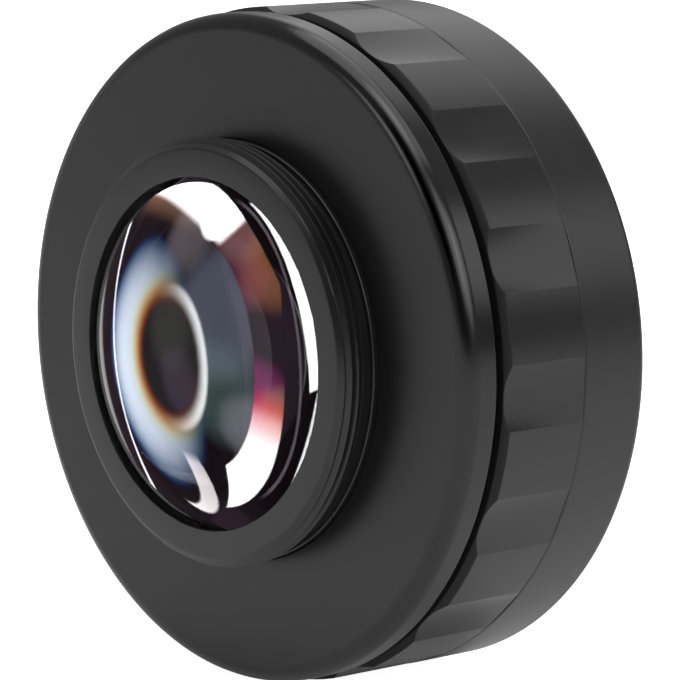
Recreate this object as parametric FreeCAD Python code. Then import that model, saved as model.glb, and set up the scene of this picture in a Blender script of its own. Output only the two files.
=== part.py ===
import FreeCAD, Part
import math
import os

from FreeCAD import Vector

# Wide-angle conversion lens with a 37 mm rear thread, in millimetres.
# The optical axis is Y: the rear, which screws on a host lens, points to -Y and the front to +Y.
# +Z is up as the lens is used, and the origin is on the axis, in the middle of the rear thread.

# Rear thread and boss
mount_thread_diameter = 37.0
mount_thread_pitch = 0.75
mount_thread_length = 1.6
mount_lead_chamfer = 0.6
mount_relief_width = 0.55
mount_relief_depth = 0.65
collar_width = 1.45
collar_step = 0.25
collar_seat_depth = 0.5
collar_seat_edge = 0.2
collar_edge = 0.15

# Rear lens cell and what it holds
cell_wall = 1.5
cell_lip_width = 1.3
cell_lip_thickness = 0.55
cell_tail_step = 0.75
rear_lens_rear_curve = 25.0
rear_lens_front_curve = 40.0
rear_lens_edge = 1.4
rear_ring_length = 1.5
rear_ring_width = 1.6
spanner_slot_width = 1.4
spanner_slot_depth = 0.7

# Rear disc, whose diameter sets the size of the whole barrel
disc_diameter = 58.0
disc_thickness = 3.0
disc_rear_round = 1.15
disc_front_edge = 0.15
disc_back_recess = 0.6

# Screw joint between the rear unit and the barrel
joint_wall = 3.6
joint_thread_pitch = 0.75
joint_thread_length = 3.4
joint_relief_width = 0.95
joint_relief_depth = 0.35
joint_spigot_wall = 1.9
joint_entry_chamfer = 0.3
joint_gap = 0.9
seal_section = 0.86
seal_inset = 0.75

# Barrel and grip
grip_proud = 0.35
grip_length = 8.97
grip_wall = 2.75
grip_rear_chamfer = 0.5
grip_front_edge = 0.1
scallop_count = 16
scallop_angle = 10.77
scallop_depth = 0.53
scallop_phase = -2.7
barrel_flange_width = 1.2
barrel_flange_length = 1.0
barrel_web = 1.28
barrel_mouth_chamfer = 0.4
barrel_pocket_wall = 1.5
barrel_nose_length = 2.9
hub_wall = 1.5
hub_lip_width = 2.5
hub_lip_length = 0.7
hub_length = 4.58

# Front lens group
front_lens_front_curve = 75.0
front_lens_rear_curve = 20.0
front_lens_rear_opening = 14.0
front_lens_centre = 2.0
second_lens_diameter = 30.0
second_lens_edge = 3.3
second_lens_curve = 45.0
second_lens_rim = 1.0
glare_stop_thickness = 0.25
glare_stop_width = 3.5
lens_spacer_wall = 1.2
lens_seal_thickness = 0.35
lens_seal_width = 1.0
front_clamp_length = 1.2
front_clamp_width = 1.8
front_clamp_recess = 0.743

# Front ring, its filter thread and the trim ring
front_ring_round = 1.0
front_ring_rear_edge = 0.12
front_ring_lip_length = 0.5
front_ring_lip_width = 0.8
filter_thread_wall = 1.85
filter_thread_pitch = 0.75
filter_thread_length = 1.94
filter_relief_width = 0.6
filter_mouth_chamfer = 0.4
trim_seat_step = 0.4
trim_width = 3.2
trim_drop = 1.5
trim_rim = 0.9
trim_thickness = 0.4

# Clearances
screw_clearance = 0.05
thread_root_clearance = 0.06
lens_clearance = 0.05
seat_clearance = 0.02
cut_margin = 1.0

# Thread form: a 60 degree V with its flats
THREAD_DEPTH_SHARE = 0.6134
FORM_HEIGHT_SHARE = 0.5413
PITCH_DROP_SHARE = 0.3248
CREST_FLAT_SHARE = 0.125
FLANK_SLOPE = math.tan(math.radians(30.0))

# Radii worked out from the sizes above
mount_crest = mount_thread_diameter / 2
mount_root = mount_crest - THREAD_DEPTH_SHARE * mount_thread_pitch
mount_relief = mount_crest - mount_relief_depth
collar_radius = mount_crest - collar_step
cell_pocket = mount_root - cell_wall
cell_opening = cell_pocket - cell_lip_width
cell_tail = collar_radius - cell_tail_step
rear_lens_radius = cell_pocket - lens_clearance
disc_radius = disc_diameter / 2
disc_bore = cell_tail + screw_clearance
collar_bore = collar_radius + screw_clearance
grip_radius = disc_radius + grip_proud
barrel_outside = grip_radius - grip_wall
barrel_flange = barrel_outside + barrel_flange_width
grip_bore = barrel_outside + screw_clearance
joint_thread_radius = barrel_outside - joint_wall
joint_pitch_radius = joint_thread_radius - PITCH_DROP_SHARE * joint_thread_pitch
joint_outside = joint_pitch_radius - screw_clearance / 2
joint_bore = joint_pitch_radius + screw_clearance / 2
joint_undercut = joint_outside - joint_relief_depth
joint_bore_relief = joint_bore + joint_relief_depth
spigot_inside = joint_undercut - joint_spigot_wall
seal_radius = joint_bore + seal_inset + seal_section / 2
front_pocket = barrel_outside - barrel_pocket_wall
front_lens_radius = front_pocket - lens_clearance
second_lens_radius = second_lens_diameter / 2
hub_pocket = second_lens_radius + lens_clearance
hub_outside = hub_pocket + hub_wall
hub_opening = hub_pocket - hub_lip_width
stop_outside = hub_pocket - lens_clearance
stop_opening = stop_outside - glare_stop_width
front_ring_radius = grip_radius
front_ring_bore = barrel_outside + screw_clearance
front_ring_lip = front_ring_bore - front_ring_lip_width
filter_thread_radius = front_ring_radius - filter_thread_wall
filter_bore = filter_thread_radius - FORM_HEIGHT_SHARE * filter_thread_pitch
filter_root = filter_thread_radius + thread_root_clearance
filter_relief = filter_root + thread_root_clearance
trim_seat = filter_bore - trim_seat_step


def sag(curve, radius):
    """How far a sphere of radius curve falls from its top at this distance from the axis."""
    return curve - math.sqrt(curve * curve - radius * radius)


# Places along the axis, from the rear to the front
thread_rear = -mount_thread_length / 2
thread_front = mount_thread_length / 2
boss_face = thread_rear - mount_lead_chamfer
collar_rear = thread_front + mount_relief_width
disc_rear = collar_rear + collar_width
collar_front = disc_rear + collar_seat_depth
disc_front = disc_rear + disc_thickness
lip_front = boss_face + cell_lip_thickness
rear_lens_top = lip_front + seat_clearance - sag(rear_lens_rear_curve, cell_opening)
rear_edge_rear = rear_lens_top + sag(rear_lens_rear_curve, rear_lens_radius)
rear_edge_front = rear_edge_rear + rear_lens_edge
rear_lens_back = rear_edge_front + sag(rear_lens_front_curve, rear_lens_radius)
rear_ring_inside = cell_pocket - screw_clearance - rear_ring_width
rear_ring_rear = rear_lens_back - sag(rear_lens_front_curve, rear_ring_inside) + seat_clearance
rear_ring_front = rear_ring_rear + rear_ring_length
cell_front = rear_ring_front + 2 * seat_clearance
spigot_front = disc_front + joint_relief_width + joint_thread_length
barrel_rear = disc_front + joint_gap
grip_rear = barrel_rear
grip_front = grip_rear + grip_length
barrel_front = grip_front + barrel_nose_length
clamp_front = barrel_front - front_clamp_recess
clamp_rear = clamp_front - front_clamp_length
lens_seal_front = clamp_rear - seat_clearance
lens_seal_rear = lens_seal_front - lens_seal_thickness
lens_seal_inside = front_lens_radius - lens_seal_width
front_lens_top = lens_seal_rear - seat_clearance + sag(front_lens_front_curve, lens_seal_inside)
front_edge_front = front_lens_top - sag(front_lens_front_curve, front_lens_radius)
front_lens_hollow = front_lens_top - front_lens_centre
front_lens_seat = front_lens_hollow - sag(front_lens_rear_curve, front_lens_rear_opening)
web_front = front_lens_seat
web_rear = web_front - barrel_web
hub_rear = web_front - hub_lip_length - hub_length
hub_seat = hub_rear + hub_lip_length
stop_front = hub_seat + glare_stop_thickness
second_rear = stop_front + seat_clearance
second_front = second_rear + second_lens_edge
ring_rear = grip_front
lip_rear = barrel_front + seat_clearance
front_lip_front = lip_rear + front_ring_lip_length
trim_front = front_lip_front + seat_clearance + trim_rim
filter_relief_rear = trim_front + seat_clearance
filter_rear = filter_relief_rear + filter_relief_width
filter_front = filter_rear + filter_thread_length
ring_front = filter_front + filter_mouth_chamfer


def turned(*steps):
    """A solid turned about Y. A step is (r, y), or (r, y, r, y) for an arc by way of its first point."""
    edges = []
    start = Vector(steps[0][0], steps[0][1], 0)
    here = start
    for step in list(steps[1:]) + [steps[0][:2]]:
        end = Vector(step[-2], step[-1], 0)
        if len(step) == 4:
            edges.append(Part.Arc(here, Vector(step[0], step[1], 0), end).toShape())
        elif here.distanceToPoint(end) > 1e-9:
            edges.append(Part.LineSegment(here, end).toShape())
        here = end
    face = Part.Face(Part.Wire(edges))
    return face.revolve(Vector(0, 0, 0), Vector(0, 1, 0), 360)


def bulge(curve, top, side, radius_from, radius_to):
    """Arc step on a sphere whose top is at y = top. side is 1 where it falls away to +Y, else -1."""
    middle = (radius_from + radius_to) / 2
    return (
        middle,
        top + side * sag(curve, middle),
        radius_to,
        top + side * sag(curve, radius_to),
    )


def rounded(radius, y, size, towards):
    """Quarter-round step from a flat face at y to the outside. towards is 1 if the face looks to -Y."""
    corner = size * (1 - math.sqrt(0.5))
    return (radius - corner, y + towards * corner, radius, y + towards * size)


def thread_steps(crest, root, y_from, y_to, pitch):
    """Profile steps of a thread drawn as closed V grooves, with a crest at each end."""
    crest_flat = CREST_FLAT_SHARE * pitch
    count = math.floor((y_to - y_from - crest_flat) / pitch)
    spare = (y_to - y_from - crest_flat - count * pitch) / 2
    flank = abs(crest - root) * FLANK_SLOPE
    steps = [(crest, y_from)]
    for index in range(count):
        groove_from = y_from + spare + crest_flat + index * pitch
        groove_to = groove_from + pitch - crest_flat
        steps.append((crest, groove_from))
        steps.append((root, groove_from + flank))
        steps.append((root, groove_to - flank))
        steps.append((crest, groove_to))
    steps.append((crest, y_to))
    return steps


def slots(radius_in, radius_out, y_from, y_to, width):
    """A bar across the axis, which leaves two opposite slots where it cuts a ring."""
    bar = Part.makeBox(2 * radius_out, y_to - y_from, width, Vector(-radius_out, y_from, -width / 2))
    core_from = y_from - cut_margin
    core_to = y_to + cut_margin
    return bar.cut(turned((0, core_from), (radius_in, core_from), (radius_in, core_to), (0, core_to)))


def rear_cell():
    """The threaded boss that holds the rear lens. Its collar sits in the disc, its tail goes through."""
    slope = math.asin(cell_opening / rear_lens_rear_curve)
    seat_front = lip_front + (cell_pocket - cell_opening) * math.tan(slope)
    return turned(
        (cell_opening, boss_face),
        (mount_crest - mount_lead_chamfer, boss_face),
        *thread_steps(mount_crest, mount_root, thread_rear, thread_front, mount_thread_pitch),
        (mount_relief, thread_front),
        (mount_relief, collar_rear),
        (collar_radius - collar_edge, collar_rear),
        (collar_radius, collar_rear + collar_edge),
        (collar_radius, collar_front),
        (cell_tail, collar_front),
        (cell_tail, cell_front),
        (cell_pocket, cell_front),
        (cell_pocket, seat_front),
        (cell_opening, lip_front),
    )


def rear_lens():
    """The strongly curved rear element."""
    return turned(
        (0, rear_lens_top),
        bulge(rear_lens_rear_curve, rear_lens_top, 1, 0, rear_lens_radius),
        (rear_lens_radius, rear_edge_front),
        bulge(rear_lens_front_curve, rear_lens_back, -1, rear_lens_radius, 0),
    )


def rear_retaining_ring():
    """Screwed ring that holds the rear lens against its seat, with two spanner slots."""
    outside = cell_pocket - screw_clearance
    ring = turned(
        (rear_ring_inside, rear_ring_rear),
        (outside, rear_ring_rear),
        (outside, rear_ring_front),
        (rear_ring_inside, rear_ring_front),
    )
    cut_from = rear_ring_front - spanner_slot_depth
    cut_to = rear_ring_front + cut_margin
    reach = outside + cut_margin
    return ring.cut(slots(rear_ring_inside / 2, reach, cut_from, cut_to, spanner_slot_width))


def rear_disc():
    """The rear plate, with the spigot that the barrel screws on: plain, at the thread's pitch radius."""
    return turned(
        (collar_bore, disc_rear + collar_seat_edge),
        (collar_bore + collar_seat_edge, disc_rear),
        (disc_radius - disc_rear_round, disc_rear),
        rounded(disc_radius, disc_rear, disc_rear_round, 1),
        (disc_radius, disc_front - disc_front_edge),
        (disc_radius - disc_front_edge, disc_front),
        (joint_undercut, disc_front),
        (joint_undercut, disc_front + joint_relief_width),
        (joint_outside, disc_front + joint_relief_width),
        (joint_outside, spigot_front - joint_entry_chamfer),
        (joint_outside - joint_entry_chamfer, spigot_front),
        (spigot_inside, spigot_front),
        (spigot_inside, disc_front - disc_back_recess),
        (disc_bore, disc_front - disc_back_recess),
        (disc_bore, collar_front + seat_clearance),
        (collar_bore, collar_front + seat_clearance),
    )


def joint_seal():
    """Rubber ring that fills the bottom of the gap behind the barrel."""
    middle = disc_front + joint_gap / 2
    return Part.makeTorus(seal_radius, seal_section / 2, Vector(0, middle, 0), Vector(0, 1, 0))


def barrel():
    """The inner barrel: joint thread at the rear, hub for the second lens, pocket for the front lens."""
    return turned(
        (joint_bore + joint_entry_chamfer, barrel_rear),
        (barrel_flange, barrel_rear),
        (barrel_flange, barrel_rear + barrel_flange_length),
        (barrel_outside, barrel_rear + barrel_flange_length),
        (barrel_outside, barrel_front),
        (front_pocket + barrel_mouth_chamfer, barrel_front),
        (front_pocket, barrel_front - barrel_mouth_chamfer),
        (front_pocket, web_front),
        (hub_pocket, web_front),
        (hub_pocket, hub_seat),
        (hub_opening, hub_seat),
        (hub_opening, hub_rear),
        (hub_outside, hub_rear),
        (hub_outside, web_rear),
        (joint_bore_relief, web_rear),
        (joint_bore_relief, web_rear - joint_relief_width),
        (joint_bore, web_rear - joint_relief_width),
        (joint_bore, barrel_rear + joint_entry_chamfer),
    )


def grip_ring():
    """The outer grip sleeve with its scallops."""
    counterbore = barrel_flange + screw_clearance
    step = grip_rear + barrel_flange_length + seat_clearance
    sleeve = turned(
        (counterbore, grip_rear),
        (grip_radius - grip_rear_chamfer, grip_rear),
        (grip_radius, grip_rear + grip_rear_chamfer),
        (grip_radius, grip_front - grip_front_edge),
        (grip_radius - grip_front_edge, grip_front),
        (grip_bore, grip_front),
        (grip_bore, step),
        (counterbore, step),
    )
    half = math.radians(scallop_angle / 2)
    hollow = scallop_depth - grip_radius * (1 - math.cos(half))
    half_chord = grip_radius * math.sin(half)
    cutter_radius = (half_chord * half_chord + hollow * hollow) / (2 * hollow)
    cutter_place = grip_radius - scallop_depth + cutter_radius
    cutters = []
    for index in range(scallop_count):
        angle = math.radians(scallop_phase + index * 360.0 / scallop_count)
        across = cutter_place * math.cos(angle)
        up = cutter_place * math.sin(angle)
        foot = Vector(across, grip_rear - cut_margin, up)
        length = grip_length + 2 * cut_margin
        cutters.append(Part.makeCylinder(cutter_radius, length, foot, Vector(0, 1, 0)))
    return sleeve.cut(Part.makeCompound(cutters))


def glare_stop():
    """Thin black washer behind the second lens."""
    return turned(
        (stop_opening, hub_seat),
        (stop_outside, hub_seat),
        (stop_outside, stop_front),
        (stop_opening, stop_front),
    )


def second_lens():
    """Element with a flat rear and a hollow front."""
    clear = second_lens_radius - second_lens_rim
    bottom = second_front - sag(second_lens_curve, clear)
    return turned(
        (0, second_rear),
        (second_lens_radius, second_rear),
        (second_lens_radius, second_front),
        (clear, second_front),
        bulge(second_lens_curve, bottom, 1, clear, 0),
    )


def lens_spacer():
    """Ring between the second lens and the front lens."""
    outside = second_lens_radius
    rear = second_front + seat_clearance
    front = front_lens_seat
    inside = outside - lens_spacer_wall
    return turned((inside, rear), (outside, rear), (outside, front), (inside, front))


def front_lens():
    """The large front meniscus."""
    return turned(
        (0, front_lens_hollow),
        bulge(front_lens_rear_curve, front_lens_hollow, -1, 0, front_lens_rear_opening),
        (front_lens_radius, front_lens_seat),
        (front_lens_radius, front_edge_front),
        bulge(front_lens_front_curve, front_lens_top, -1, front_lens_radius, 0),
    )


def front_lens_seal():
    """Thin gasket between the front lens and the ring that clamps it."""
    return turned(
        (lens_seal_inside, lens_seal_rear),
        (front_lens_radius, lens_seal_rear),
        (front_lens_radius, lens_seal_front),
        (lens_seal_inside, lens_seal_front),
    )


def front_retaining_ring():
    """Screwed ring that clamps the front lens, with two spanner slots."""
    outside = front_pocket - screw_clearance
    inside = outside - front_clamp_width
    ring = turned(
        (inside, clamp_rear),
        (outside, clamp_rear),
        (outside, clamp_front),
        (inside, clamp_front),
    )
    cut_from = clamp_front - spanner_slot_depth
    cut_to = clamp_front + cut_margin
    reach = outside + cut_margin
    return ring.cut(slots(inside / 2, reach, cut_from, cut_to, spanner_slot_width))


def front_ring():
    """The smooth front ring, screwed over the barrel's nose, with the filter thread in its mouth."""
    thread = thread_steps(filter_bore, filter_root, filter_rear, filter_front, filter_thread_pitch)
    return turned(
        (front_ring_bore, ring_rear),
        (front_ring_radius - front_ring_rear_edge, ring_rear),
        (front_ring_radius, ring_rear + front_ring_rear_edge),
        (front_ring_radius, ring_front - front_ring_round),
        (
            front_ring_radius - front_ring_round * (1 - math.sqrt(0.5)),
            ring_front - front_ring_round * (1 - math.sqrt(0.5)),
            front_ring_radius - front_ring_round,
            ring_front,
        ),
        (filter_bore + filter_mouth_chamfer, ring_front),
        *reversed(thread),
        (filter_relief, filter_rear),
        (filter_relief, filter_relief_rear),
        (trim_seat, filter_relief_rear),
        (trim_seat, front_lip_front),
        (front_ring_lip, front_lip_front),
        (front_ring_lip, lip_rear),
        (front_ring_bore, lip_rear),
    )


def front_trim_ring():
    """The sloping bare ring round the front lens, where such a lens carries its name."""
    outside = trim_seat - screw_clearance
    inside = outside - trim_width
    rear = front_lip_front + seat_clearance
    return turned(
        (front_ring_lip, rear),
        (outside, rear),
        (outside, trim_front),
        (inside, trim_front - trim_drop),
        (inside, trim_front - trim_drop - trim_thickness),
    )


PIECES = {
    "rear_cell": rear_cell,
    "rear_lens": rear_lens,
    "rear_retaining_ring": rear_retaining_ring,
    "rear_disc": rear_disc,
    "joint_seal": joint_seal,
    "barrel": barrel,
    "grip_ring": grip_ring,
    "glare_stop": glare_stop,
    "second_lens": second_lens,
    "lens_spacer": lens_spacer,
    "front_lens": front_lens,
    "front_lens_seal": front_lens_seal,
    "front_retaining_ring": front_retaining_ring,
    "front_ring": front_ring,
    "front_trim_ring": front_trim_ring,
}

os.makedirs("parts", exist_ok=True)
for name, make in PIECES.items():
    shape = make()
    shape.exportStep(os.path.join("parts", name + ".step"))
    print(name, len(shape.Solids), "solid, closed" if shape.isValid() else "solid, NOT VALID")
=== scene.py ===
import logging
import math
from dataclasses import dataclass, field, replace
from enum import Enum
from typing import Callable, Sequence

import bmesh
import bpy
import numpy as np
from mathutils import Matrix, Vector


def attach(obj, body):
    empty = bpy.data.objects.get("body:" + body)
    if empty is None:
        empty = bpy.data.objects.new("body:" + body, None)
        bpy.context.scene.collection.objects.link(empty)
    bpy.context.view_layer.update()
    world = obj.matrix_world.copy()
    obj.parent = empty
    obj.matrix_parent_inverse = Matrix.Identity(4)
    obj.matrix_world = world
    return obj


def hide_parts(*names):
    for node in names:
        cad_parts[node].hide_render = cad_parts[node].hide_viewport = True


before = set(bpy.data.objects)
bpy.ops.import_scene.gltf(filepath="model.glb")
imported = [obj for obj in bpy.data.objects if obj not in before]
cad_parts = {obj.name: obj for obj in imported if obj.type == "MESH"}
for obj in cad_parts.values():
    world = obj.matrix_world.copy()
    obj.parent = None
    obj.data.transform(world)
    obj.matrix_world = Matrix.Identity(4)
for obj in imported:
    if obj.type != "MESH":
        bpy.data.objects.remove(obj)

# A screw-on wide-angle conversion lens. The optical axis is Y, the rear glass looks to -Y, +Z is up.
# Sizes are in millimetres in the classes, as a maker would write them, and metres in the meshes.

LOG = logging.getLogger("conversion_lens")
MM = 0.001
TURN = 2.0 * math.pi
TINY = 1e-9

# Half of a metric thread's 60 degree V, and the steps round the axis of each kind of piece.
FLANK_SLOPE = math.tan(math.radians(30.0))
SEGMENTS = 512
INNER_SEGMENTS = 256
GLASS_SEGMENTS = 320

# The usual edge break and the roundings of turned corners, in millimetres.
EDGE_BREAK = 0.06
CRISP = 0.05
SOFT = 0.1
BROAD = 0.15

# Past a rounding a row holds the flat side's shading: how far, and at most what share of the room.
HOLD = 0.05
HOLD_SHARE = 0.2

# A rounding takes at most this share of a side. Below these sizes a corner is sharp, and two points are one.
SIDE_SHARE = 0.45
SHARP_RADIUS = 1e-6
SMALLEST_GAP = 1e-5
NEARLY_STRAIGHT = 0.999999

# In metres: points nearer than the first are merged, edges shorter than the second dissolved.
MERGE_DISTANCE = 1e-7
DISSOLVE_DISTANCE = 1e-8

# The angle between faces from which an edge is shaded sharp.
SHARP_ANGLE = math.radians(32.0)

Colour = tuple[float, float, float]
WHITE: Colour = (1.0, 1.0, 1.0)

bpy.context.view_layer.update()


class Body(Enum):
    """The three rigid bodies of the lens."""

    REAR = "rear_unit"
    SEAL = "seal"
    FRONT = "front_unit"


class Slot(Enum):
    """The record's material slots named for the new pieces; place() takes one but nothing reads it."""

    ANODISED = "anodised_black"
    GRIP = "grip_black"
    RUBBER = "seal_rubber"
    REAR_GLASS = "rear_glass"
    INNER_GLASS = "inner_glass"
    FRONT_GLASS = "front_glass"


# ---- node helpers -------------------------------------------------------------------------------


class NodeSheet:
    """A small helper that adds and links the nodes of one tree."""

    def __init__(self, tree: bpy.types.NodeTree) -> None:
        """Empties the tree."""
        self.tree = tree
        tree.nodes.clear()

    def add(self, kind: str, **inputs: object) -> bpy.types.Node:
        """Adds a node.

        Args:
            kind: The node's class name.
            inputs: Attributes of the node, or socket values where the name has no attribute.

        Returns:
            The new node.
        """
        node = self.tree.nodes.new(kind)
        for name, value in inputs.items():
            if hasattr(node, name):
                setattr(node, name, value)
            else:
                node.inputs[name.replace("_", " ")].default_value = value
        return node

    def link(self, source: bpy.types.NodeSocket, target: bpy.types.NodeSocket) -> None:
        """Links two sockets."""
        self.tree.links.new(source, target)

    def noise(self, coordinates: bpy.types.NodeSocket, scale: float, detail: float) -> bpy.types.Node:
        """Adds a noise texture on the given coordinates.

        Args:
            coordinates: The vector socket it reads.
            scale: Grains per metre.
            detail: Octaves.

        Returns:
            The noise node.
        """
        node = self.add("ShaderNodeTexNoise")
        node.inputs["Scale"].default_value = scale
        node.inputs["Detail"].default_value = detail
        self.link(coordinates, node.inputs["Vector"])
        return node

    def spread(self, value: bpy.types.NodeSocket, low: float, high: float) -> bpy.types.NodeSocket:
        """Maps a 0 to 1 value to a range.

        Args:
            value: The socket to map.
            low: Result at 0.
            high: Result at 1.

        Returns:
            The mapped socket.
        """
        node = self.add("ShaderNodeMapRange")
        node.inputs["To Min"].default_value = low
        node.inputs["To Max"].default_value = high
        self.link(value, node.inputs["Value"])
        return node.outputs["Result"]


def blank_material(name: str) -> tuple[bpy.types.Material, NodeSheet]:
    """Makes an empty node material.

    Args:
        name: The material's name.

    Returns:
        The material and its node sheet.
    """
    material = bpy.data.materials.new(name)
    material.use_nodes = True
    return material, NodeSheet(material.node_tree)


# ---- finishes -----------------------------------------------------------------------------------


@dataclass(frozen=True)
class BlackMetal:
    """Black anodised or painted metal with a fine blasted grain and faint unevenness.

    The grain's height and the rim's radius are in metres. A rim radius of 0 means no polished rim.
    """

    name: str
    colour: Colour
    roughness: float
    roughness_spread: float
    grain_per_metre: float
    grain_height: float
    grain_detail: float = 2.0
    cloud_per_metre: float = 160.0
    cloud_detail: float = 3.0
    tone_low: float = 0.85
    tone_high: float = 1.15
    specular: float = 0.5
    rim_radius: float = 0.0
    rim_polish: float = 1.0
    rim_before: float = 0.0002
    rim_after: float = 0.0003

    def polished_rim(
        self, sheet: NodeSheet, place: bpy.types.NodeSocket, roughness: bpy.types.NodeSocket
    ) -> bpy.types.NodeSocket:
        """Makes the surface smoother beyond the rim's radius from the Y axis.

        Args:
            sheet: The material's nodes.
            place: The object coordinates.
            roughness: The roughness so far.

        Returns:
            The roughness, times rim_polish beyond the radius.
        """
        across = sheet.add("ShaderNodeVectorMath", operation="MULTIPLY")
        across.inputs[1].default_value = (1.0, 0.0, 1.0)
        sheet.link(place, across.inputs[0])
        length = sheet.add("ShaderNodeVectorMath", operation="LENGTH")
        sheet.link(across.outputs[0], length.inputs[0])
        share = sheet.add("ShaderNodeMapRange", interpolation_type="SMOOTHSTEP")
        share.inputs["From Min"].default_value = self.rim_radius - self.rim_before
        share.inputs["From Max"].default_value = self.rim_radius + self.rim_after
        share.inputs["To Min"].default_value = 1.0
        share.inputs["To Max"].default_value = self.rim_polish
        sheet.link(length.outputs["Value"], share.inputs["Value"])
        both = sheet.add("ShaderNodeMath", operation="MULTIPLY")
        sheet.link(roughness, both.inputs[0])
        sheet.link(share.outputs["Result"], both.inputs[1])
        return both.outputs[0]

    def material(self) -> bpy.types.Material:
        """Builds the material: a cloudy noise varies roughness and tone, a fine one bumps the surface.

        Returns:
            The material.
        """
        material, sheet = blank_material(self.name)
        shader = sheet.add("ShaderNodeBsdfPrincipled")
        shader.inputs["Specular IOR Level"].default_value = self.specular
        place = sheet.add("ShaderNodeTexCoord").outputs["Object"]
        cloud = sheet.noise(place, self.cloud_per_metre, self.cloud_detail)
        low = self.roughness - self.roughness_spread
        high = self.roughness + self.roughness_spread
        roughness = sheet.spread(cloud.outputs["Fac"], low, high)
        if self.rim_radius > 0.0:
            roughness = self.polished_rim(sheet, place, roughness)
        sheet.link(roughness, shader.inputs["Roughness"])
        tone = sheet.add("ShaderNodeMix", data_type="RGBA")
        tone.inputs["A"].default_value = (*[c * self.tone_low for c in self.colour], 1.0)
        tone.inputs["B"].default_value = (*[c * self.tone_high for c in self.colour], 1.0)
        sheet.link(cloud.outputs["Fac"], tone.inputs["Factor"])
        sheet.link(tone.outputs["Result"], shader.inputs["Base Color"])
        grain = sheet.noise(place, self.grain_per_metre, self.grain_detail)
        bump = sheet.add("ShaderNodeBump")
        bump.inputs["Strength"].default_value = 1.0
        bump.inputs["Distance"].default_value = self.grain_height
        sheet.link(grain.outputs["Fac"], bump.inputs["Height"])
        sheet.link(bump.outputs["Normal"], shader.inputs["Normal"])
        out = sheet.add("ShaderNodeOutputMaterial")
        sheet.link(shader.outputs["BSDF"], out.inputs["Surface"])
        return material


@dataclass(frozen=True)
class CoatedGlass:
    """Polished clear glass with a thin anti-reflection film, which tints what it reflects.

    The film's thickness is in nanometres, 0 for none.
    """

    name: str
    ior: float
    film_thickness: float
    film_ior: float = 1.38
    tint: Colour = WHITE

    def material(self) -> bpy.types.Material:
        """Builds the material.

        Returns:
            The material.
        """
        material, sheet = blank_material(self.name)
        shader = sheet.add("ShaderNodeBsdfPrincipled")
        shader.inputs["Base Color"].default_value = (*self.tint, 1.0)
        shader.inputs["Roughness"].default_value = 0.0
        shader.inputs["IOR"].default_value = self.ior
        shader.inputs["Transmission Weight"].default_value = 1.0
        shader.inputs["Thin Film Thickness"].default_value = self.film_thickness
        shader.inputs["Thin Film IOR"].default_value = self.film_ior
        out = sheet.add("ShaderNodeOutputMaterial")
        sheet.link(shader.outputs["BSDF"], out.inputs["Surface"])
        return material


@dataclass(frozen=True)
class Finishes:
    """Every finish of the lens, as built materials."""

    disc: bpy.types.Material
    boss: bpy.types.Material
    grip: bpy.types.Material
    ring: bpy.types.Material
    flat: bpy.types.Material
    edge: bpy.types.Material
    rubber: bpy.types.Material
    rear_glass: bpy.types.Material
    inner_glass: bpy.types.Material
    front_glass: bpy.types.Material


def make_finishes() -> Finishes:
    """Builds the finishes once.

    Returns:
        The materials by use.
    """
    black = (0.0075, 0.0075, 0.008)
    dull = (0.006, 0.006, 0.006)
    ground = (0.005, 0.005, 0.006)
    # The seal's grey is partly the rubber's own dark tone and partly painted light: it is lighter than the
    # rubber, to fill the shaded gap between the disc and the grip where the seal sits.
    rubber_grey_painted_fill = (0.03, 0.03, 0.03)
    disc = BlackMetal(
        "disc_satin_black",
        black,
        roughness=0.36,
        roughness_spread=0.03,
        grain_per_metre=9000.0,
        grain_height=0.000006,
        specular=0.44,
        rim_radius=0.0277,
        rim_polish=0.36,
    )
    return Finishes(
        disc=disc.material(),
        boss=BlackMetal("boss_satin_black", black, 0.3, 0.03, 9000.0, 0.000005).material(),
        grip=BlackMetal("grip_polished_black", black, 0.24, 0.03, 7000.0, 0.000003).material(),
        ring=BlackMetal("ring_satin_black", black, 0.3, 0.03, 9000.0, 0.000005).material(),
        flat=BlackMetal("flat_black", dull, 0.6, 0.05, 6000.0, 0.00001, specular=0.3).material(),
        edge=BlackMetal("ground_edge_black", ground, 0.7, 0.05, 6000.0, 0.00001).material(),
        # The seal's lighter grey paints fill light into the shaded gap between the disc and the grip.
        rubber=BlackMetal("seal_rubber", rubber_grey_painted_fill, 0.6, 0.08, 5000.0, 0.00001).material(),
        rear_glass=CoatedGlass("rear_coated_glass", 1.5, 0.0).material(),
        inner_glass=CoatedGlass("inner_coated_glass", 1.62, 100.0).material(),
        front_glass=CoatedGlass("front_coated_glass", 1.6, 120.0).material(),
    )


# ---- shapes -------------------------------------------------------------------------------------


@dataclass(frozen=True)
class Corner:
    """A corner of a turned profile in millimetres, with the radius that rounds it."""

    r: float
    y: float
    round: float = 0.0


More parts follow.
